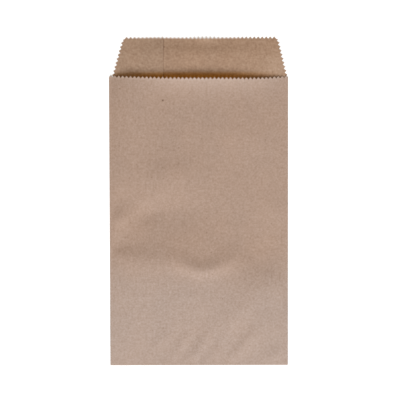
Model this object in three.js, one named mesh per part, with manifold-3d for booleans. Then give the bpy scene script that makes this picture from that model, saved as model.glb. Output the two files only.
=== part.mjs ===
// A flat kraft paper bag, folded from one sheet. The sheet is rolled into a flattened tube, lapped and
// glued down the back. Its lower end is turned under and glued, and a pinking knife cuts its mouth so
// that the back panel stands past the front as a tapered flap.
// Millimetres. The bag lies on its back: +X across it, +Y from the bottom fold to the flap, +Z up.
import * as THREE from "three";
import Module from "manifold-3d";

// The paper and the folded sizes. The flap starts a little inside each side of the bag and leans in.
const paper = 0.12;
const bagWidth = 132;
const bodyLength = 215;
const flapLength = 28.1;
const flapEdges = { right: { inset: 0.1, taper: 7.3 }, left: { inset: 1.8, taper: 8.4 } };
const bottomTurn = 18;

// The pinking knife, and its two cuts: the lip sags, lower on the right, and the flap's end dips a little.
const toothPitch = 2.95;
const toothDepth = 1.7;
const lipSag = 1.5;
const lipDip = 0.9;
const lipDipX = 48;
const lipDipReach = 25;
const endDip = 0.5;
const endDipX = 3;
const endDipReach = 16;
const cornerDrop = 0.7;

// The lap down the back, by its free edge inside the bag, and the two lines of glue
const seamEdge = -26;
const seamLap = 12;
const seamEdgeLift = 0.3;
const lapStepRun = 3;
const glueLine = 0.08;
const glueMargin = 2.2;
const bottomGlueWidth = 10;
const bottomGlueInset = 4;

// How far the body stands open, less so at the mouth, where the lip curls up
const bodyPuff = 7;
const bottomSlope = 76;
const mouthDrop = 2.5;
const mouthSlope = 110;
const lipRise = 1.5;
const lipRun = 24;
const lipMiddle = 8;
const lipReach = 48;

// The back panel comes down to the floor over this length past the turned end.
const settleRun = 45;

// Soft creases, in millimetres on the bag: middle, reach along the crest to each side, width below and
// above it, and height. turn is the crest's direction in degrees from +X, and bow bends it to a smile.
const frontCreases = [
  { x: 3, y: 70.5, turn: 0, reach: 17, below: 5, above: 7, height: 2, bow: 5.5 },
  { x: 24, y: 77, turn: 8, reach: 14, below: 8, above: 9, height: 0.9, bow: 0 },
  { x: -18, y: 76, turn: -8, reach: 13, below: 7, above: 8, height: 0.7, bow: 0 },
  { x: -46, y: 79, turn: -2, reach: 20, below: 9, above: 7, height: 0.8, bow: 0 },
  { x: -63, y: 88.5, turn: 10, reach: 17, below: 5, above: 7, height: -0.7, bow: 0 },
  { x: -63, y: 107, turn: 22, reach: 12, below: 6, above: 5.5, height: 1.3, bow: 0 },
  { x: -58, y: 123, turn: 15, reach: 13, below: 7, above: 9, height: -0.7, bow: 0 },
  { x: -20, y: 112, turn: 6, reach: 36, below: 24, above: 14, height: -1.9, bow: -4 },
  { x: -38, y: 112, turn: 26, reach: 12, below: 6, above: 8, height: -0.9, bow: 0 },
  { x: -22, y: 142, turn: 6, reach: 20, below: 14, above: 9, height: 1, bow: 0 },
  { x: 48, y: 60, turn: -12, reach: 18, below: 12, above: 12, height: 1.1, bow: 0 },
  { x: 27, y: 36, turn: 47, reach: 24, below: 6, above: 10, height: 1.1, bow: 0 },
  { x: 56, y: 117, turn: 0, reach: 10, below: 9, above: 9, height: 0.6, bow: 0 },
  { x: 36, y: 170, turn: -12, reach: 22, below: 13, above: 16, height: 0.9, bow: 0 },
  { x: -50, y: 215, turn: 0, reach: 13, below: 60, above: 60, height: 2.3, bow: 0 },
];
const flapCreases = [
  { x: 0, y: 231, turn: 0, reach: 44, below: 13, above: 6, height: 1.5, bow: 0 },
  { x: 4, y: 247, turn: 0, reach: 10, below: 5.5, above: 5, height: 2.2, bow: 0 },
];
const creaseFade = 6;

// Spacing of the facets
const bodyRowStep = 4.8;
const flapRowStep = 4.7;
const frontColumnStep = 6.4;
const backColumnStep = 21;
const flapColumnStep = 9;
const foldSteps = 4;

// A side fold closes on the two thicknesses of the lap, and the bottom fold on its line of glue.
const foldSlack = 0.06;
const layerStep = paper + glueLine;
const foldRadius = (paper + layerStep + foldSlack) / 2;
const turnRadius = layerStep / 2;
const turnMean = turnRadius + foldRadius;
const turnLength = Math.PI * turnMean;
const foldX = bagWidth / 2 - paper / 2 - foldRadius;

// Heights of the middle of the back panel: on the floor, and over the turned end
const restHeight = paper / 2;
const turnedHeight = restHeight + 2 * turnMean;

// The lap, left to right: the left panel steps up over the right one's edge and ends at seamEdge.
const outerEdge = seamEdge - seamLap;
const stepStart = outerEdge - lapStepRun;
const liftStart = seamEdge - glueMargin;

// Teeth fill the bag's width exactly, and the knife's line runs along their tips.
const pitch = bagWidth / Math.round(bagWidth / toothPitch);
const lowerEnd = -(bottomTurn + turnLength);
const shoulder = bodyLength - lipSag - lipDip - 2 * toothDepth;
const flapTop = bodyLength + flapLength;
const flapShoulder = flapTop - toothDepth - pitch / 2;

// Each slanted side of the flap, by its distance from the bag's middle: it starts inside the bag's side
// and leans in to a tooth's tip.
function slant(side, { inset, taper }) {
  const base = bagWidth / 2 - inset;
  const top = pitch * Math.round((base - taper) / pitch);
  return { side, base, top, corner: base - toothDepth, inner: top - 3 * toothDepth };
}

const rightSlant = slant(1, flapEdges.right);
const leftSlant = slant(-1, flapEdges.left);

const ease = (t) => THREE.MathUtils.smoothstep(t, 0, 1);
const lerp = THREE.MathUtils.lerp;

// How deep the pinked edge is cut at x: nothing on a tip, toothDepth in a valley
function toothCut(x) {
  return 2 * toothDepth * Math.abs(x / pitch - Math.round(x / pitch));
}

// The front's lip sags between its corners, with one bell-shaped dip.
function lipLine(x) {
  const dip = lipDip * Math.exp(-(((x - lipDipX) / lipDipReach) ** 2));
  return bodyLength - lipSag * Math.max(0, 1 - (x / foldX) ** 2) - dip - toothCut(x);
}

// The flap's end has one shallow dip. From its last valley it drops on to each corner.
function endLine(x) {
  const dip = endDip * Math.exp(-(((x - endDipX) / endDipReach) ** 2));
  const beyond = Math.abs(x) - (x > 0 ? rightSlant.top : leftSlant.top) + pitch / 2;
  const cut = beyond > 0 ? toothDepth + cornerDrop * beyond * 2 / pitch : toothCut(x);
  return flapTop - dip - cut;
}

const cornerY = lipLine(-foldX);

// One soft crease: a bell across its bowed crest, steeper on one side, that fades out along it
function creaseHeight({ x, y, turn, reach, below, above, height, bow }, px, py) {
  const angle = THREE.MathUtils.degToRad(turn);
  const along = ((px - x) * Math.cos(angle) + (py - y) * Math.sin(angle)) / reach;
  const across = (py - y) * Math.cos(angle) - (px - x) * Math.sin(angle) - bow * along * along;
  const width = across < 0 ? below : above;
  return height * Math.exp(-along * along - (across / width) ** 2);
}

function creased(list, x, y) {
  return list.reduce((sum, crease) => sum + creaseHeight(crease, x, y), 0);
}

// The back panel's middle lies level, over the turned end and then on the floor.
function levelHeight(y) {
  return lerp(turnedHeight, restHeight, ease((y - bottomTurn) / settleRun));
}

// How far the front panel stands off the back one, beyond the width of a side fold
function frontPuff(x, y) {
  const arch = Math.max(0, 1 - (x / foldX) ** 2);
  const drop = mouthDrop * ease((y - bottomSlope) / mouthSlope);
  const curl = Math.max(0, 1 - (bodyLength - y) / lipRun) ** 2;
  const curled = lipRise * curl * Math.exp(-(((x - lipMiddle) / lipReach) ** 4));
  const fade = ease((foldX - Math.abs(x)) / creaseFade) * ease(y / creaseFade);
  const crown = arch * (bodyPuff * ease(y / bottomSlope) - drop + curled);
  return crown + fade * creased(frontCreases, x, y);
}

// Places on the tube: across it, the height of the sheet's middle, and the outward normal
function onBack(x, y, layer = 0) {
  const waves = ease((y - bodyLength) / creaseFade) * creased(flapCreases, x, y);
  return { x, z: levelHeight(y) + waves + layer, nx: 0, nz: -1 };
}

// The left back panel climbs onto the right one, and its free edge lifts above the turned end.
function onLeftBack(x, y) {
  const climb = THREE.MathUtils.clamp((x - stepStart) / lapStepRun, 0, 1);
  const free = Math.max(0, (x - liftStart) / glueMargin) * ease((y - bottomTurn) / settleRun);
  return onBack(x, y, climb * layerStep + free * seamEdgeLift);
}

function onFront(x, y) {
  return { x, z: levelHeight(y) + 2 * foldRadius + frontPuff(x, y), nx: 0, nz: 1 };
}

function onFold(side, angle, y) {
  const nx = side * Math.cos(angle);
  const nz = Math.sin(angle);
  return { x: side * foldX + foldRadius * nx, z: levelHeight(y) + foldRadius * (1 + nz), nx, nz };
}

// A place in space. Below the bottom fold, where y is negative, the tube runs round the fold and back
// under the bag. key orders the places of a run, for stitching.
function placed({ x, z, nx, nz }, y, key) {
  const turn = Math.min(Math.PI, Math.max(0, -y) / turnMean);
  const beyond = Math.max(0, -y) - turn * turnMean;
  const axis = turnedHeight - turnRadius;
  const radius = z - axis;
  const along = y < 0 ? beyond - radius * Math.sin(turn) : y;
  const point = new THREE.Vector3(x, along, axis + radius * Math.cos(turn));
  const normal = new THREE.Vector3(nx, -nz * Math.sin(turn), nz * Math.cos(turn));
  return { point, normal, key };
}

// Triangles between two runs of places, each ordered by key, that face outward on the bag
function stitch(lower, upper) {
  const triangles = [];
  let i = 0;
  let j = 0;
  while (i < lower.length - 1 || j < upper.length - 1) {
    const nextLower = i < lower.length - 1 ? lower[i + 1].key : Infinity;
    const nextUpper = j < upper.length - 1 ? upper[j + 1].key : Infinity;
    if (nextLower <= nextUpper) {
      triangles.push([lower[i], upper[j], lower[i + 1]]);
      i += 1;
    } else {
      triangles.push([lower[i], upper[j], upper[j + 1]]);
      j += 1;
    }
  }
  return triangles;
}

// A strip between two runs with as many places in each
function ladder(lower, upper) {
  return lower.slice(1).flatMap((place, i) => [
    [lower[i], upper[i], place],
    [upper[i], upper[i + 1], place],
  ]);
}

function strips(rows, join) {
  return rows.slice(1).flatMap((row, i) => join(rows[i], row));
}

// Evenly spaced values from one end to the other, both included
function spaced(from, to, step) {
  const count = Math.max(1, Math.round(Math.abs(to - from) / step));
  return Array.from({ length: count + 1 }, (_, i) => lerp(from, to, i / count));
}

// Where a pinked cut bends: both ends, and every tip and valley between them
function pinked(from, to) {
  const half = pitch / 2;
  const low = Math.min(from, to) + half / 5;
  const high = Math.max(from, to) - half / 5;
  const bends = spaced(Math.ceil(low / half), Math.floor(high / half), 1).map((n) => n * half);
  return from < to ? [from, ...bends, to] : [from, ...bends.reverse(), to];
}

// A run across one panel, where line gives y at each x
function panelRun(xs, surface, line) {
  const way = Math.sign(xs.at(-1) - xs[0]);
  return xs.map((x) => placed(surface(x, line(x)), line(x), way * x));
}

// A run round one side fold: up from the back panel on the right, and down to it on the left
function foldRun(side, y) {
  const angles = spaced(-Math.PI / 2, Math.PI / 2, Math.PI / foldSteps).slice(1, -1);
  return angles.map((angle) => placed(onFold(side, side * angle, y), y, 0));
}

// One row right round the tube: right back, right fold, front, left fold, left back
function tubeRow({ rightBack, front, leftBack }, line, backLine = line) {
  const right = panelRun(rightBack, onBack, backLine);
  const middle = panelRun(front, onFront, line);
  const left = panelRun(leftBack, onLeftBack, backLine);
  const rightFold = [right.at(-1), ...foldRun(1, backLine(foldX)), middle[0]];
  const leftFold = [middle.at(-1), ...foldRun(-1, backLine(-foldX)), left[0]];
  return { right, rightFold, middle, leftFold, left };
}

function tubeStrip(lower, upper) {
  return [
    ...stitch(lower.right, upper.right),
    ...ladder(lower.rightFold, upper.rightFold),
    ...stitch(lower.middle, upper.middle),
    ...ladder(lower.leftFold, upper.leftFold),
    ...stitch(lower.left, upper.left),
  ];
}

// Columns of facets across each panel, and the bends of the pinked cuts
const lapColumns = [stepStart, outerEdge, liftStart, seamEdge];
const bodyColumns = {
  rightBack: spaced(outerEdge, foldX, backColumnStep),
  front: spaced(foldX, -foldX, frontColumnStep),
  leftBack: [-foldX, ...lapColumns],
};
const flapColumns = {
  right: spaced(outerEdge, rightSlant.inner, flapColumnStep),
  left: [...spaced(-leftSlant.inner, stepStart, flapColumnStep), ...lapColumns.slice(1)],
};
const toothColumns = {
  rightBack: pinked(outerEdge, foldX),
  front: pinked(foldX, -foldX),
  leftBack: pinked(-foldX, seamEdge),
};
const bodyLevels = spaced(0, shoulder, bodyRowStep);
const flapLevels = spaced(cornerY, flapShoulder, flapRowStep);

// The flap's slanted side, from the corner up: it starts and ends in a valley.
function flapSide({ side, base, top }, surface) {
  const count = 2 * Math.round((flapShoulder - cornerY) / pitch);
  return spaced(0, count, 1).map((n) => {
    const y = lerp(cornerY, flapShoulder, n / count);
    const tipLine = lerp(base, top, (y - cornerY) / (flapTop - cornerY));
    const x = side * (tipLine - (n % 2 === 0 ? toothDepth : 0));
    return placed(surface(x, y), y, side * y);
  });
}

// One half of the flap: level rows inside, then the toothed strips along its side and its top
function flapHalf(edgeSlant, xs, surface, topRun) {
  const { side } = edgeSlant;
  const rows = flapLevels.map((y) => panelRun(xs, surface, () => y));
  const inner = rows.map((row) => (side > 0 ? row.at(-1) : row[0]));
  const innerEdge = inner.map((place) => ({ ...place, key: side * place.point.y }));
  const edge = flapSide(edgeSlant, surface);
  const corner = { ...edge.at(-1), key: edge.at(-1).point.x };
  const lastRow = side > 0 ? [...rows.at(-1), corner] : [corner, ...rows.at(-1)];
  const top = panelRun(topRun, surface, endLine);
  const sideStrip = side > 0 ? stitch(edge, innerEdge) : stitch(innerEdge, edge);
  return [...strips(rows, ladder), ...sideStrip, ...stitch(lastRow, top)];
}

// The whole folded sheet. The tube runs from its pinked lower end, round the bottom fold and up to the
// lip, where the knife leaves only the flap of the back panel.
function sheetTriangles() {
  const wrap = spaced(-turnLength, 0, turnLength / (2 * foldSteps));
  const levels = [lowerEnd + 2 * toothDepth, ...wrap, ...bodyLevels.slice(1)];
  const lipColumns = {
    rightBack: [...flapColumns.right, rightSlant.corner, foldX],
    front: toothColumns.front,
    leftBack: [-foldX, -leftSlant.corner, ...flapColumns.left],
  };
  const rows = [
    tubeRow(toothColumns, (x) => lowerEnd + toothCut(x)),
    ...levels.map((y) => tubeRow(bodyColumns, () => y)),
    tubeRow(lipColumns, lipLine, () => cornerY),
  ];
  return [
    ...strips(rows, tubeStrip),
    ...flapHalf(rightSlant, flapColumns.right, onBack, pinked(outerEdge, rightSlant.top)),
    ...flapHalf(leftSlant, flapColumns.left, onLeftBack, pinked(-leftSlant.top, seamEdge)),
  ];
}

// The line of glue in the lap, with the sheet's own rows, from the bottom fold to near the flap's top
function seamGlue() {
  const xs = [outerEdge + glueMargin, liftStart - glueMargin];
  const ys = [...bodyLevels.slice(1), ...flapLevels];
  const surface = (x, y) => onBack(x, y, layerStep / 2);
  return strips(ys.map((y) => panelRun(xs, surface, () => y)), ladder);
}

// The line of glue that holds the turned end up against the back panel
function bottomGlue() {
  const xs = [bottomGlueInset - foldX, foldX - bottomGlueInset];
  const surface = (x, y) => onBack(x, y, -turnRadius);
  const ys = [(bottomTurn - bottomGlueWidth) / 2, (bottomTurn + bottomGlueWidth) / 2];
  return strips(ys.map((y) => panelRun(xs, surface, () => y)), ladder);
}

// A closed solid with its faces half the thickness off each side of the triangles, and a wall along
// every edge that has a triangle on one side only
function thicken(wasm, triangles, thickness) {
  const numbers = new Map();
  const places = [];
  const number = (place) => {
    const text = place.point.toArray().map((value) => value.toFixed(6)).join();
    if (!numbers.has(text)) numbers.set(text, places.push(place) - 1);
    return numbers.get(text);
  };
  const faces = triangles.map((triangle) => triangle.map(number));
  const edges = faces.flatMap(([a, b, c]) => [[a, b], [b, c], [c, a]]);
  const known = new Set(edges.map((edge) => edge.join()));
  const rim = edges.filter(([a, b]) => !known.has([b, a].join()));
  const inner = places.length;
  const outside = (side) => ({ point, normal }) => point.clone().addScaledVector(normal, side * thickness / 2);
  const points = [...places.map(outside(1)), ...places.map(outside(-1))];
  const shell = faces.flatMap(([a, b, c]) => [[a, b, c], [a + inner, c + inner, b + inner]]);
  const walls = rim.flatMap(([a, b]) => [[b, a, a + inner], [b, a + inner, b + inner]]);
  const vertProperties = new Float32Array(points.flatMap((point) => point.toArray()));
  const triVerts = new Uint32Array([...shell, ...walls].flat());
  return new wasm.Manifold(new wasm.Mesh({ numProp: 3, vertProperties, triVerts }));
}

function toGeometry(solid) {
  const { vertProperties, triVerts } = solid.getMesh();
  const geometry = new THREE.BufferGeometry();
  geometry.setAttribute("position", new THREE.BufferAttribute(vertProperties, 3));
  geometry.setIndex(new THREE.BufferAttribute(triVerts, 1));
  return geometry;
}

const wasm = await Module();
wasm.setup();
const sheet = thicken(wasm, sheetTriangles(), paper);
const glue = thicken(wasm, seamGlue(), layerStep).add(thicken(wasm, bottomGlue(), layerStep));
const kraft = new THREE.MeshStandardMaterial({ color: 0xb59a86, roughness: 0.85, metalness: 0 });
const paperBag = new THREE.Mesh(toGeometry(sheet.add(glue)), kraft);
paperBag.name = "paper_bag";

// The origin is under the middle of the bag's outline.
const foldOut = turnRadius + 2 * foldRadius + paper / 2;
paperBag.position.y = (foldOut - flapTop) / 2;

const model = new THREE.Group();
model.add(paperBag);

export default model;
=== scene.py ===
# A flat kraft paper bag, lying open-mouthed on its back on a white table and seen from nearly above.
# Lengths are millimetres on the bag: x across it, y up from its bottom fold, z off the table.
import math

import bpy
import numpy as np
from mathutils import Matrix, Vector


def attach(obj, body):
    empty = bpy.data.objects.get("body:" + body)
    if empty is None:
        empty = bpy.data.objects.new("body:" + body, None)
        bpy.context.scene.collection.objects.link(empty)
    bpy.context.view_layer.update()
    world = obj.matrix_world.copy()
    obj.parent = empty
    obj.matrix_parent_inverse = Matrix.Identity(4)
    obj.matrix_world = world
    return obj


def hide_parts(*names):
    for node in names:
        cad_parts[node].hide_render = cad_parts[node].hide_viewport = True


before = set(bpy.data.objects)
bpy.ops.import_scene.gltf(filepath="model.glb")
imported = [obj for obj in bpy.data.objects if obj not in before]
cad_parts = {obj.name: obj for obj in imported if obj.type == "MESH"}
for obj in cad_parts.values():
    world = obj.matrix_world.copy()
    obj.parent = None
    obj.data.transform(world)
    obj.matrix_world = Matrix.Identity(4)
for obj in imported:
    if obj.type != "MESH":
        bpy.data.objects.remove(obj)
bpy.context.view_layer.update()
print("loaded the frame:", sorted(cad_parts))


# The folded sheet

bag = dict(
    paper=0.12, width=132.0,  # the sheet's thickness, and the folded bag's width
    body=215.0, flap=28.1, bottomTurn=18.0,  # bottom fold to lip, lip to the flap's end, end turned under
    insetRight=0.1, taperRight=7.3, insetLeft=1.8, taperLeft=8.4,  # the flap's sides start inside the bag's
    lipSag=1.5, lipDip=0.9, dipMiddle=48.0, dipReach=25.0,  # the lip bows down, and dips on the right
    endDip=0.5, endMiddle=3.0, endReach=16.0, cornerDrop=0.7,  # the flap's end dips and its corners drop
    teeth=45, toothDepth=1.7, cornerTeeth=2, leanColumns=8,  # the knife, and the columns that lean
    seamEdge=-26.0, seamLap=12.0, seamStep=3.0, seamLift=0.3,  # the lap, and how its free edge stands off
    glueMargin=2.2, glueLine=0.08, foldSlack=0.06, settleRun=45.0,
    puff=7.0, bottomSlope=76.0, mouthDrop=2.5, mouthSlope=110.0,  # the body stands open, less at the mouth
    lipRise=1.5, lipRun=24.0, lipMiddle=8.0, lipReach=48.0, creaseFade=6.0,
    rowStep=1.3, foldSteps=8, underRows=10, toothRows=2, lipRows=3, flapRows=2,  # the mesh's rows
    leastColumn=0.2,  # the narrowest column, in half teeth
    mergeDigits=5, sharpAngle=50.0,  # decimals in which merged points agree, degrees at a sharp edge
    sideApart=50.0,  # how far from the outer side's patterns the inner side's are read
)

# Soft creases: middle x, y, crest direction in degrees, reach along it, width below and above, height, bow.
frontCreases = [
    (3, 70.5, 0, 17, 5, 7, 2.0, 5.5),
    (24, 77, 8, 14, 8, 9, 0.9, 0),
    (-18, 76, -8, 13, 7, 8, 0.7, 0),
    (-46, 79, -2, 20, 9, 7, 0.8, 0),
    (-63, 88.5, 10, 17, 5, 7, -0.7, 0),
    (-63, 107, 22, 12, 6, 5.5, 1.3, 0),
    (-58, 123, 15, 13, 7, 9, -0.7, 0),
    (-20, 112, 6, 36, 24, 14, -1.9, -4),
    (-38, 112, 26, 12, 6, 8, -0.9, 0),
    (-22, 142, 6, 20, 14, 9, 1.0, 0),
    (48, 60, -12, 18, 12, 12, 1.1, 0),
    (27, 36, 47, 24, 6, 10, 1.1, 0),
    (56, 117, 0, 10, 9, 9, 0.6, 0),
    (36, 170, -12, 22, 13, 16, 0.9, 0),
    (-50, 215, 0, 13, 60, 60, 2.3, 0),
]
fineCreases = [
    (-14, 14, 58, 13, 3.4, 3.6, 0.80, 0),
    (1, 13, 60, 15, 3.2, 4.8, 1.20, 0),
    (13, 11, 62, 16, 5.5, 3.2, 0.80, 0),
    (33, 15, 52, 15, 6.0, 3.8, 1.20, 0),
    (57, 8, 40, 10, 5.0, 4.0, 0.50, 0),
    (-29, 17, 50, 13, 3.6, 3.6, 0.50, 0),
]
flapCreases = [
    (0, 231, 0, 44, 13, 6, 1.5, 0),
    (4, 247, 0, 10, 5.5, 5, 2.2, 0),
]

foldRadius = (2 * bag["paper"] + bag["glueLine"] + bag["foldSlack"]) / 2
turnRadius = (bag["paper"] + bag["glueLine"]) / 2
turnMean = turnRadius + foldRadius
turnLength = math.pi * turnMean
foldX = bag["width"] / 2 - bag["paper"] / 2 - foldRadius
restHeight = bag["paper"] / 2
turnedHeight = restHeight + 2 * turnMean
outerEdge = bag["seamEdge"] - bag["seamLap"]
flapTop = bag["body"] + bag["flap"]
pitch = bag["width"] / bag["teeth"]
halfTooth = pitch / 2
baseHalf = {1: bag["width"] / 2 - bag["insetRight"], -1: bag["width"] / 2 - bag["insetLeft"]}
topHalf = {1: pitch * round((baseHalf[1] - bag["taperRight"]) / pitch),
           -1: pitch * round((baseHalf[-1] - bag["taperLeft"]) / pitch)}
lowerEnd = -(bag["bottomTurn"] + turnLength)
shoulder = bag["body"] - bag["lipSag"] - bag["lipDip"] - 2 * bag["toothDepth"]  # clear below every tooth
flapShoulder = flapTop - bag["toothDepth"] - halfTooth
lastLean = bag["leanColumns"] + 0.5  # in half teeth, between the last column that leans and the next
foldOut = turnRadius + 2 * foldRadius + bag["paper"] / 2
middleY = (flapTop - foldOut) / 2  # the frame's origin is under the middle of the outline


def ease(t):  # 3t^2 - 2t^3, held at 0 and 1 outside
    t = np.clip(t, 0.0, 1.0)
    return t * t * (3 - 2 * t)


def toothCut(x):  # a triangle wave: 0 on a tip, the tooth's depth in a valley
    turns = x / pitch
    return 2 * bag["toothDepth"] * np.abs(turns - np.round(turns))


def lipLine(x):
    # The body's length, less a parabola, sag * (1 - (x/half)^2), a bell-shaped dip and the teeth
    sag = bag["lipSag"] * np.clip(1 - (x / foldX) ** 2, 0, 1)
    dip = bag["lipDip"] * np.exp(-((x - bag["dipMiddle"]) / bag["dipReach"]) ** 2)
    return bag["body"] - sag - dip - toothCut(x)


def endLine(x):
    # The flap's top, less a bell-shaped dip and the teeth, with a straight drop to each corner
    dip = bag["endDip"] * np.exp(-((x - bag["endMiddle"]) / bag["endReach"]) ** 2)
    beyond = np.abs(x) - np.where(x > 0, topHalf[1], topHalf[-1]) + halfTooth
    corner = bag["toothDepth"] + bag["cornerDrop"] * beyond / halfTooth
    return flapTop - dip - np.where(beyond > 0, corner, toothCut(x))


cornerY = float(lipLine(-foldX))  # where the lip meets the side folds


def creased(creases, x, y):
    # A sum of bells, height * exp(-along^2 - across^2), each turned to its crest and bent by bow * along^2
    total = np.zeros(np.broadcast(x, y).shape)
    for cx, cy, turn, reach, below, above, height, bow in creases:
        cosine, sine = math.cos(math.radians(turn)), math.sin(math.radians(turn))
        along = ((x - cx) * cosine + (y - cy) * sine) / reach
        across = (y - cy) * cosine - (x - cx) * sine - bow * along ** 2
        total = total + height * np.exp(-along ** 2 - (across / np.where(across < 0, below, above)) ** 2)
    return total


def levelHeight(y):  # the back panel's level: raised over the turned end, then eased down to the table
    return turnedHeight + (restHeight - turnedHeight) * ease((y - bag["bottomTurn"]) / bag["settleRun"])


def backHeight(x, y):  # level, and waved by its creases on the flap
    return levelHeight(y) + ease((y - bag["body"]) / bag["creaseFade"]) * creased(flapCreases, x, y)


def leftBackHeight(x, y):
    # The back's height, one layer more over the lap, and the lift of the free edge, each on a straight
    # slope across the bag. The lift eases in above the turned end.
    climb = np.clip((x - outerEdge + bag["seamStep"]) / bag["seamStep"], 0, 1)
    free = np.clip((x - bag["seamEdge"] + bag["glueMargin"]) / bag["glueMargin"], 0, 1)
    opened = ease((y - bag["bottomTurn"]) / bag["settleRun"])
    return backHeight(x, y) + climb * 2 * turnRadius + free * opened * bag["seamLift"]


def frontHeight(x, y):
    # The back panel's level, two fold radii, a parabola across the bag that eases up along it and curls
    # at the lip, and the creases, which fade out at the folds
    arch = np.clip(1 - (x / foldX) ** 2, 0, 1)
    curl = np.clip(1 - (bag["body"] - y) / bag["lipRun"], 0, None) ** 2
    fade = ease((foldX - np.abs(x)) / bag["creaseFade"]) * ease(y / bag["creaseFade"])
    drop = bag["mouthDrop"] * ease((y - bag["bottomSlope"]) / bag["mouthSlope"])
    curled = bag["lipRise"] * curl * np.exp(-((x - bag["lipMiddle"]) / bag["lipReach"]) ** 4)
    crown = arch * (bag["puff"] * ease(y / bag["bottomSlope"]) - drop + curled)
    waves = fade * (creased(frontCreases, x, y) + creased(fineCreases, x, y))
    return levelHeight(y) + 2 * foldRadius + crown + waves


def rolled(x, y, z, nx, nz):
    # Below the bottom fold, at negative y, the sheet turns through -y / turnMean radians about the fold's
    # axis, up to half a turn, and then runs on flat underneath. Returns points and normals.
    turn = np.clip(-y / turnMean, 0, math.pi)
    beyond = np.clip(-y, 0, None) - turn * turnMean
    axis = turnedHeight - turnRadius
    radius = z - axis
    along = np.where(y < 0, beyond - radius * np.sin(turn), y)
    points = np.stack([x, along, axis + radius * np.cos(turn)], axis=-1)
    normals = np.stack([nx, -nz * np.sin(turn), nz * np.cos(turn)], axis=-1)
    return points, normals


def halfTeeth(start, end):  # both ends, and every tip and valley well between them
    first = math.ceil(start / halfTooth + bag["leastColumn"])
    last = math.floor(end / halfTooth - bag["leastColumn"])
    return np.concatenate([[start], np.arange(first, last + 1) * halfTooth, [end]])


def rowLevels(x, top):
    # y of every row at each x, in evenly spaced runs: the turned end's teeth, the turned end, the fold,
    # the body up to the shoulder, and from there up to top
    tips = lowerEnd + toothCut(x)
    flat = lowerEnd + 2 * bag["toothDepth"]
    tail = tips + (flat - tips) * np.linspace(0, 1, bag["toothRows"] + 1)[:-1, None]
    levels = np.concatenate([
        np.linspace(flat, -turnLength, bag["underRows"] + 1)[:-1],
        np.linspace(-turnLength, 0, 2 * bag["foldSteps"] + 1)[:-1],
        np.linspace(0, shoulder, round(shoulder / bag["rowStep"]) + 1),
    ])
    body = np.repeat(levels[:, None], len(x), axis=1)
    tops = np.broadcast_to(top, x.shape)
    lip = shoulder + (tops - shoulder) * np.linspace(0, 1, bag["lipRows"] + 1)[1:, None]
    return np.concatenate([tail, body, lip])


def flapInner(side):  # the columns beyond this lean in
    return topHalf[side] - bag["cornerTeeth"] * pitch


def leaned(side, x, y, edge):
    # x of each column at y: the outer columns move to places spread evenly as far as edge, by a share
    # that eases in from the bottom fold to the shoulder
    inner = flapInner(side)
    place = (np.abs(x) - inner) / halfTooth
    spread = inner + (edge - inner) * place / bag["leanColumns"]
    leans = (place > 0) & (place < lastLean)
    share = ease(y / shoulder)
    return np.where(leans, np.sign(x) * (np.abs(x) + (spread - np.abs(x)) * share), x)


def sheetPart(x, y, height, up, girth):
    # One panel's points, normals and places on the flat blank. Up is 1 or -1, as the outer side faces.
    z = height(x, y)
    points, normals = rolled(x, y, z, np.zeros_like(z), np.full_like(z, up))
    return points, normals, np.stack([girth, y], axis=-1)


def sideFold(side, y, start):
    # A half circle of foldRadius, from the back round to the front on the right, and back on the left
    angles = side * np.linspace(-math.pi / 2, math.pi / 2, bag["foldSteps"] + 1)[None, 1:-1]
    ys = np.repeat(y[:, None], angles.shape[1], axis=1)
    nx = np.broadcast_to(side * np.cos(angles), ys.shape)
    nz = np.broadcast_to(np.sin(angles), ys.shape)
    z = levelHeight(ys) + foldRadius * (1 + nz)
    points, normals = rolled(side * foldX + foldRadius * nx, ys, z, nx, nz)
    turned = foldRadius * (side * angles + math.pi / 2)
    return points, normals, np.stack([np.broadcast_to(start + turned, ys.shape), ys], axis=-1)


# Girth on the flat blank, from the lap's outer edge: right back, right fold, front, left fold, left back
girthRight = foldX - outerEdge
girthFront = girthRight + math.pi * foldRadius
girthLeft = girthFront + 2 * foldX
girthEnd = girthLeft + math.pi * foldRadius


def tubeGrid():
    # Five grids with the same rows, in their order round the bag. The columns stand half a tooth apart.
    rightX = halfTeeth(outerEdge, foldX)
    frontX = halfTeeth(-foldX, foldX)[::-1]
    leftX = halfTeeth(-foldX, bag["seamEdge"])
    rightY, leftY = rowLevels(rightX, cornerY), rowLevels(leftX, cornerY)
    frontY = rowLevels(frontX, lipLine(frontX))
    right = leaned(1, rightX[None, :], rightY, baseHalf[1] - bag["toothDepth"])
    left = leaned(-1, leftX[None, :], leftY, baseHalf[-1] - bag["toothDepth"])
    front = np.broadcast_to(frontX, frontY.shape)
    return [
        sheetPart(right, rightY, backHeight, -1, right - outerEdge),
        sideFold(1, rightY[:, -1], girthRight),
        sheetPart(front, frontY, frontHeight, 1, girthFront + foldX - front),
        sideFold(-1, leftY[:, 0], girthLeft),
        sheetPart(left, leftY, leftBackHeight, -1, girthEnd + foldX + left),
    ]


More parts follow.
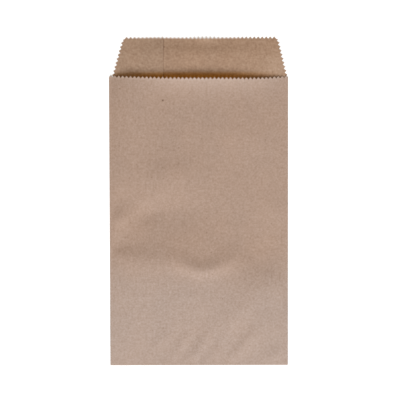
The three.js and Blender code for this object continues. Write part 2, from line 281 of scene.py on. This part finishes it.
def flapGrid(side, x, height):
    # Rows at every valley and tip of the slanted side, whose tips stand on a straight line, then the few
    # rows up to the teeth of the top
    x = x[np.abs(x) < flapInner(side) + lastLean * halfTooth]
    count = 2 * round((flapShoulder - cornerY) / pitch)
    row = np.arange(count + 1)
    y = cornerY + (flapShoulder - cornerY) * row / count
    tipLine = baseHalf[side] + (topHalf[side] - baseHalf[side]) * (y - cornerY) / (flapTop - cornerY)
    edge = tipLine - bag["toothDepth"] * (row % 2 == 0)
    topX = leaned(side, x, np.full_like(x, flapTop), topHalf[side])
    lowX = leaned(side, x, np.full_like(x, flapTop), edge[-1])
    share = np.linspace(0, 1, bag["flapRows"] + 1)[1:, None]
    xs = np.concatenate([leaned(side, x[None, :], flapTop, edge[:, None]), lowX + (topX - lowX) * share])
    topY = flapShoulder + (endLine(topX) - flapShoulder) * share
    ys = np.concatenate([np.repeat(y[:, None], len(x), axis=1), topY])
    girth = xs - outerEdge if side > 0 else girthEnd + foldX + xs
    return sheetPart(xs, ys, height, -1, girth)


def gridFaces(rows, columns, first):
    # Quads of a grid, wound to face outward on the back panel and so all round the tube
    low = first + np.arange(rows - 1)[:, None] * columns + np.arange(columns - 1)[None, :]
    return np.stack([low, low + columns, low + columns + 1, low + 1], axis=-1).reshape(-1, 4)


def foldedSheet():
    # The middle surface: the tube's grids side by side, and the two halves of the flap above them. Points
    # that fall in one place become one.
    tube = [np.concatenate(arrays, axis=1) for arrays in zip(*tubeGrid())]
    right = flapGrid(1, halfTeeth(outerEdge, foldX), backHeight)
    left = flapGrid(-1, halfTeeth(-foldX, bag["seamEdge"]), leftBackHeight)
    points, normals, blank, faces, first = [], [], [], [], 0
    for grid in (tube, right, left):
        rows, columns = grid[0].shape[:2]
        faces.append(gridFaces(rows, columns, first))
        points.append(grid[0].reshape(-1, 3))
        normals.append(grid[1].reshape(-1, 3))
        blank.append(grid[2].reshape(-1, 2))
        first += rows * columns
    points, normals, blank = np.concatenate(points), np.concatenate(normals), np.concatenate(blank)
    places = np.round(points, bag["mergeDigits"])
    where, back = np.unique(places, axis=0, return_index=True, return_inverse=True)[1:]
    faces = back.reshape(-1)[np.concatenate(faces)]
    return points[where], normals[where], blank[where], faces


def thickSheet(points, normals, blank, faces, thickness):
    # Half the thickness off each side of the middle surface, and walls along its open edges
    count = len(points)
    edges = np.stack([faces, np.roll(faces, -1, axis=1)], axis=-1).reshape(-1, 2)
    forward, backward = edges[:, 0] * count + edges[:, 1], edges[:, 1] * count + edges[:, 0]
    rim = edges[~np.isin(forward, backward)]
    walls = np.stack([rim[:, 1], rim[:, 0], rim[:, 0] + count, rim[:, 1] + count], axis=-1)
    allPoints = np.concatenate([points + normals * thickness / 2, points - normals * thickness / 2])
    allFaces = np.concatenate([faces, faces[:, ::-1] + count, walls])
    inside = np.repeat([0.0, 1.0], count)
    return allPoints, allFaces, np.concatenate([blank, blank]), inside


def makeSheet(name, material):
    # The thick sheet about the frame's origin, with each point's place on the flat blank, all in metres
    points, faces, blank, inside = thickSheet(*foldedSheet(), bag["paper"])
    mesh = bpy.data.meshes.new(name)
    mesh.from_pydata((points - [0, middleY, 0]) / 1000, [], faces)
    place = mesh.attributes.new("blank", "FLOAT_VECTOR", "POINT")
    place.data.foreach_set("vector", np.column_stack([blank, inside * bag["sideApart"]]).ravel() / 1000)
    side = mesh.attributes.new("inside", "FLOAT", "POINT")
    side.data.foreach_set("value", inside)
    mesh.polygons.foreach_set("use_smooth", np.ones(len(faces), dtype=bool))
    mesh.set_sharp_from_angle(angle=math.radians(bag["sharpAngle"]))
    mesh.validate()
    mesh.materials.append(material)
    piece = bpy.data.objects.new(name, mesh)
    bpy.context.collection.objects.link(piece)
    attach(piece, "root")
    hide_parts("paper_bag")
    print("folded the sheet:", len(points), "points,", len(faces), "faces")
    return piece


# The paper's finish, and the light and shade painted on it. Its lengths are millimetres on the flat blank,
# and its strengths shares of the colour.

kraft = dict(
    outside=(0.462, 0.324, 0.250), inside=(0.435, 0.275, 0.180), roughness=0.86,
    mouth=(0.72, 0.32, 0.064),  # painted light: the warm glow of light that comes through the front and bounces in the mouth, painted into the inside's colour
    mouthStart=214.0, mouthEnd=218.3, mouthMiddle=-6.0, mouthHalf=50.0,
    grain=1.5, grainDetail=2, grainDepth=0.68, grainInside=0.3,  # each pattern's size and its strength
    fibre=3.6, fibreDetail=3, fibreDepth=0.30, fibreStretch=0.7,
    cloud=26.0, cloudDetail=2, cloudDepth=0.10, cloudStretch=0.8, cloudWarmth=0.06,
    noiseRoughness=0.6, noiseMean=0.5,
    fleckCell=4.0, fleckShare=0.25, fleckSize=0.45, fleckDepth=0.35,
    toneWarmth=0.22, warmStart=50.0, warmEnd=90.0, lowWarmth=-0.045, highWarmth=0.012, leftGrey=0.03,
    # The seam's dark line is painted shadow beside the lap's free edge; the folds' paleness low down is
    # painted light.
    seamWidth=0.35, seamShadeDepth=0.25, paintedFoldLight=0.10, foldHalf=60.0,
    lipHighlight=0.26, lipFade=12.0, lipMiddle=12.0, lipHalf=52.0,  # painted highlight: the front is painted paler towards the lip, where it tilts to the lamp
    lipEdgeHighlight=0.17, edgeBelow=1.2, edgeFade=1.3,  # and a painted highlight along its edge
    bumpHeight=0.03, bumpStrength=0.5,
)

# Single spots: x, y, radius and strength on the front, and the same on the flap's inner side. The small
# ones are specks in the paper. The broad ones are painted: shade on the front, light on the flap's right
# side and end.
frontSpecksAndShade = [
    (-26.3, 196.3, 0.8, -0.55), (-44.5, 31.2, 0.9, 0.16), (-45.3, 24.5, 1.1, -0.10),
    (40, 66, 24, -0.10), (-50, 90, 18, -0.04), (-5, 94, 28, -0.04),
]
flapSpecksAndLight = [
    (-22.0, 226.8, 0.6, -0.25), (-44.5, 221.2, 0.6, -0.25),
    (7, 242, 4.5, 0.12), (58, 221, 9, 0.24), (38, 226, 10, 0.05),
]


class Wire:
    # One socket of a material's tree. Sums on wires add Math nodes, and node() adds any other node.
    def __init__(self, tree, socket=None):
        self.tree, self.socket = tree, socket

    def node(self, kind, settings, sockets, output=0):
        made = self.tree.nodes.new(kind)
        for key, value in settings.items():
            setattr(made, key, value)
        for key, value in sockets.items():
            if isinstance(value, Wire):
                self.tree.links.new(value.socket, made.inputs[key])
            else:
                made.inputs[key].default_value = value
        return Wire(self.tree, made.outputs[output] if len(made.outputs) else None)

    def maths(self, operation, a, b):
        return self.node("ShaderNodeMath", {"operation": operation}, {0: a, 1: b})

    def __add__(self, other):
        return self.maths("ADD", self, other)

    def __sub__(self, other):
        return self.maths("SUBTRACT", self, other)

    def __rsub__(self, other):
        return self.maths("SUBTRACT", other, self)

    def __mul__(self, other):
        return self.maths("MULTIPLY", self, other)

    __radd__, __rmul__ = __add__, __mul__


def bell(value, middle, width):  # exp(-((value - middle) / width)^2)
    away = (value - middle) * (1 / width)
    return away.maths("EXPONENT", away * away * -1, 0)


def plateau(value, middle, half):  # a bell with a flat top, exp(-((value - middle) / half)^4)
    away = (value - middle) * (1 / half)
    square = away * away
    return away.maths("EXPONENT", square * square * -1, 0)


def fadeOut(value, low, high):  # 1 below low, 0 above high, and a smooth step between them
    return value.node("ShaderNodeMapRange", {"interpolation_type": "SMOOTHSTEP"}, {
        0: value, 1: low, 2: high, 3: 1.0, 4: 0.0})


def mixed(share, first, second):  # first * (1 - share) + second * share
    return share.node("ShaderNodeMix", {"data_type": "RGBA"}, {0: share, 6: first, 7: second}, 2)


def noise(blank, size, stretch, detail):  # cloudy values about nought, in lumps of size by size / stretch
    place = blank.node("ShaderNodeVectorMath", {"operation": "MULTIPLY"}, {0: blank, 1: (1, stretch, 1)})
    cloudy = blank.node("ShaderNodeTexNoise", {}, {
        "Vector": place, "Scale": 1000 / size, "Detail": detail, "Roughness": kraft["noiseRoughness"]}, 0)
    return cloudy - kraft["noiseMean"]


def flecks(blank):  # a dot in some cells of a Voronoi pattern, picked by the cell's random colour
    cells = {"Vector": blank, "Scale": 1000 / kraft["fleckCell"]}
    near = blank.node("ShaderNodeTexVoronoi", {}, cells, "Distance")
    colour = blank.node("ShaderNodeTexVoronoi", {}, cells, "Color")
    red = blank.node("ShaderNodeSeparateColor", {}, {0: colour}, 0)
    chosen = blank.maths("LESS_THAN", red, kraft["fleckShare"])
    return bell(near, 0, kraft["fleckSize"] / kraft["fleckCell"]) * chosen


def specksAndPaintedLight(x, y, spots):  # a sum of round bells, strength * exp(-(distance / radius)^2): specks, and patches of painted light and shade
    total = 0
    for spotX, spotY, radius, strength in spots:
        total = bell(x, spotX, radius) * bell(y, spotY, radius) * strength + total
    return total


def paperPlace(tree):
    # Where a point is: on the blank, along it, on which side, on the left half of the back or not, and
    # across the front and the back. Each x follows from the girth, which the blank's first number gives.
    start = Wire(tree)
    blank = start.node("ShaderNodeAttribute", {"attribute_name": "blank"}, {}, "Vector")
    inside = start.node("ShaderNodeAttribute", {"attribute_name": "inside"}, {}, "Fac")
    girth = start.node("ShaderNodeSeparateXYZ", {}, {0: blank}, 0) * 1000
    along = start.node("ShaderNodeSeparateXYZ", {}, {0: blank}, 1) * 1000
    leftBack = start.maths("GREATER_THAN", girth, girthLeft)
    frontX = (girthFront + foldX) - girth
    backX = girth + outerEdge - leftBack * (outerEdge + girthEnd + foldX)
    return dict(blank=blank, along=along, inside=inside, leftBack=leftBack, frontX=frontX, backX=backX)


def paperLight(place, grain, fibre, cloud, low):
    # 1, and the share of light that each pattern, line, painted highlight and spot adds or takes. The
    # seam's dark line, painted shadow, and the flap's specks and painted light are on the inner side; the
    # painted lip and fold light on the outer.
    inside, along = place["inside"], place["along"]
    frontX, backX = place["frontX"], place["backX"]
    # painted shadow beside the lap's free edge, on the inner side
    seam = bell(backX, bag["seamEdge"] + kraft["seamWidth"], kraft["seamWidth"]) * inside
    # painted highlight: paler towards the lip
    lip = bell(along, bag["body"], kraft["lipFade"]) * plateau(frontX, kraft["lipMiddle"], kraft["lipHalf"])
    # painted highlight along the lip's edge
    sag = (1 - frontX * frontX * (1 / foldX ** 2)) * bag["lipSag"]
    edge = bell(along + sag, bag["body"] - kraft["edgeBelow"], kraft["edgeFade"])
    # painted light: paler towards the folds, low down
    foldLightShare = (1 - bell(frontX, 0, kraft["foldHalf"])) * low
    grainy = grain * (inside * kraft["grainInside"] + 1)
    light = 1 + grainy * kraft["grainDepth"] + fibre * kraft["fibreDepth"] + cloud * kraft["cloudDepth"]
    light = light - flecks(place["blank"]) * kraft["fleckDepth"] - seam * kraft["seamShadeDepth"]
    paintedLight = lip * kraft["lipHighlight"] + edge * kraft["lipEdgeHighlight"] + foldLightShare * kraft["paintedFoldLight"]
    # painted highlights, with the front's specks and painted shade
    front = paintedLight + specksAndPaintedLight(frontX, along, frontSpecksAndShade)
    # the flap's specks and painted light
    return light + front * (1 - inside) + specksAndPaintedLight(backX, along, flapSpecksAndLight) * inside


def paperColour(place):  # the outside's colour, or the inside's, which turns lower down to the mouth's, a painted warm glow of the light bounced inside the bag
    mouth = fadeOut(place["along"], kraft["mouthStart"], kraft["mouthEnd"])
    mouth = mouth * plateau(place["backX"], kraft["mouthMiddle"], kraft["mouthHalf"])
    inner = mixed(mouth, (*kraft["inside"], 1), (*kraft["mouth"], 1))
    return mixed(place["inside"], (*kraft["outside"], 1), inner)


def paperWarmth(place, light, cloud, low):
    # The darker paper is the warmer. The outside is cooler low down, and the inside's left part greyer.
    outside = 1 - place["inside"]
    height = low * (kraft["lowWarmth"] - kraft["highWarmth"]) + kraft["highWarmth"]
    warm = cloud * kraft["cloudWarmth"] + (1 - light) * kraft["toneWarmth"] + height * outside
    return warm - place["leftBack"] * place["inside"] * kraft["leftGrey"]


def kraftPaper():
    # The colour times (1 + warmth, 1, 1 - warmth) and the light share, which holds painted light and shade,
    # with the grain and the fibres as a bump
    material = bpy.data.materials.new("kraft_paper")
    material.use_nodes = True
    tree = material.node_tree
    tree.nodes.clear()
    place = paperPlace(tree)
    blank = place["blank"]
    grain = noise(blank, kraft["grain"], 1, kraft["grainDetail"])
    fibre = noise(blank, kraft["fibre"], kraft["fibreStretch"], kraft["fibreDetail"])
    cloud = noise(blank, kraft["cloud"], kraft["cloudStretch"], kraft["cloudDetail"])
    low = fadeOut(place["along"], kraft["warmStart"], kraft["warmEnd"])
    light = paperLight(place, grain, fibre, cloud, low)
    warm = paperWarmth(place, light, cloud, low)
    warmth = warm.node("ShaderNodeCombineXYZ", {}, {0: 1 + warm, 1: 1.0, 2: 1 - warm})
    toned = warm.node("ShaderNodeVectorMath", {"operation": "MULTIPLY"}, {0: paperColour(place), 1: warmth})
    lit = warm.node("ShaderNodeVectorMath", {"operation": "SCALE"}, {0: toned, "Scale": light})
    bump = warm.node("ShaderNodeBump", {}, {
        "Height": grain + fibre, "Distance": kraft["bumpHeight"] / 1000, "Strength": kraft["bumpStrength"]})
    shader = warm.node("ShaderNodeBsdfPrincipled", {}, {
        "Base Color": lit, "Roughness": kraft["roughness"], "Normal": bump})
    warm.node("ShaderNodeOutputMaterial", {}, {"Surface": shader})
    print("mixed the kraft paper:", len(tree.nodes), "nodes")
    return material


# The table, the light and the camera. Lengths are metres, but for the millimetres that the photo shows.

studio = dict(
    photoPixels=400, pixel=0.7402,  # the photo's width, and millimetres a pixel
    centreX=0.88, centreY=122.65,  # the place on the bag that is at the photo's middle, in millimetres
    distance=1.3, farEnd=20.0, sensor=36.0, tilt=-3.6, roll=-0.13,  # millimetres of sensor, and degrees
    lampFrom=(0.10, -1.0, 1.04), lampDistance=1.6, lampSize=1.1, lampPower=27.3,
    lampColour=(0.92, 1.0, 1.10), skyColour=(1.22, 1.0, 0.72), sky=0.27,
    tableHalf=3.0, tableWhite=0.92, tableRoughness=0.9, tableGlow=0.35,
)


def whiteTable():
    # A flat square, which glows a little for the camera alone so that it shows white
    half = studio["tableHalf"]
    mesh = bpy.data.meshes.new("table_top")
    corners = [(-half, -half, 0), (half, -half, 0), (half, half, 0), (-half, half, 0)]
    mesh.from_pydata(corners, [], [(0, 1, 2, 3)])
    material = bpy.data.materials.new("white_table")
    material.use_nodes = True
    tree = material.node_tree
    tree.nodes.clear()
    start = Wire(tree)
    seen = start.node("ShaderNodeLightPath", {}, {}, "Is Camera Ray")
    shader = start.node("ShaderNodeBsdfPrincipled", {}, {
        "Base Color": (studio["tableWhite"],) * 3 + (1,), "Roughness": studio["tableRoughness"],
        "Emission Color": (1, 1, 1, 1), "Emission Strength": seen * studio["tableGlow"],
    })
    start.node("ShaderNodeOutputMaterial", {}, {"Surface": shader})
    mesh.materials.append(material)
    table = bpy.data.objects.new("table_top", mesh)
    bpy.context.collection.objects.link(table)


def softLight():
    # A square lamp beyond the bag's bottom, turned to face the origin, and an even light from all round
    lamp = bpy.data.lights.new("window_light", "AREA")
    lamp.energy, lamp.size, lamp.color = studio["lampPower"], studio["lampSize"], studio["lampColour"]
    away = Vector(studio["lampFrom"]).normalized()
    holder = bpy.data.objects.new("window_light", lamp)
    holder.location = away * studio["lampDistance"]
    holder.rotation_euler = away.to_track_quat("Z", "Y").to_euler()
    bpy.context.collection.objects.link(holder)
    world = bpy.data.worlds.new("white_room")
    world.use_nodes = True
    background = world.node_tree.nodes["Background"]
    background.inputs["Color"].default_value = (*studio["skyColour"], 1)
    background.inputs["Strength"].default_value = studio["sky"]
    bpy.context.scene.world = world


def lookDown():
    # Nearly straight above. The lens is the sensor's width times the distance over the width it sees.
    camera = bpy.data.cameras.new("overhead_camera")
    width = studio["photoPixels"] * studio["pixel"] / 1000
    camera.sensor_width = studio["sensor"]
    camera.sensor_fit = "HORIZONTAL"
    camera.lens = camera.sensor_width * studio["distance"] / width
    camera.clip_end = studio["farEnd"]
    holder = bpy.data.objects.new("overhead_camera", camera)
    target = Vector((studio["centreX"] / 1000, (studio["centreY"] - middleY) / 1000, 0))
    tilt = Matrix.Rotation(math.radians(studio["tilt"]), 4, "X")
    roll = Matrix.Rotation(math.radians(studio["roll"]), 4, "Z")
    back = Matrix.Translation((0, 0, studio["distance"]))
    holder.matrix_world = Matrix.Translation(target) @ tilt @ roll @ back
    bpy.context.collection.objects.link(holder)
    bpy.context.scene.camera = holder


makeSheet("kraft_bag_sheet", kraftPaper())
whiteTable()
softLight()
lookDown()
bpy.context.scene.view_settings.view_transform = "Standard"
print("staged the table, the light and the camera")
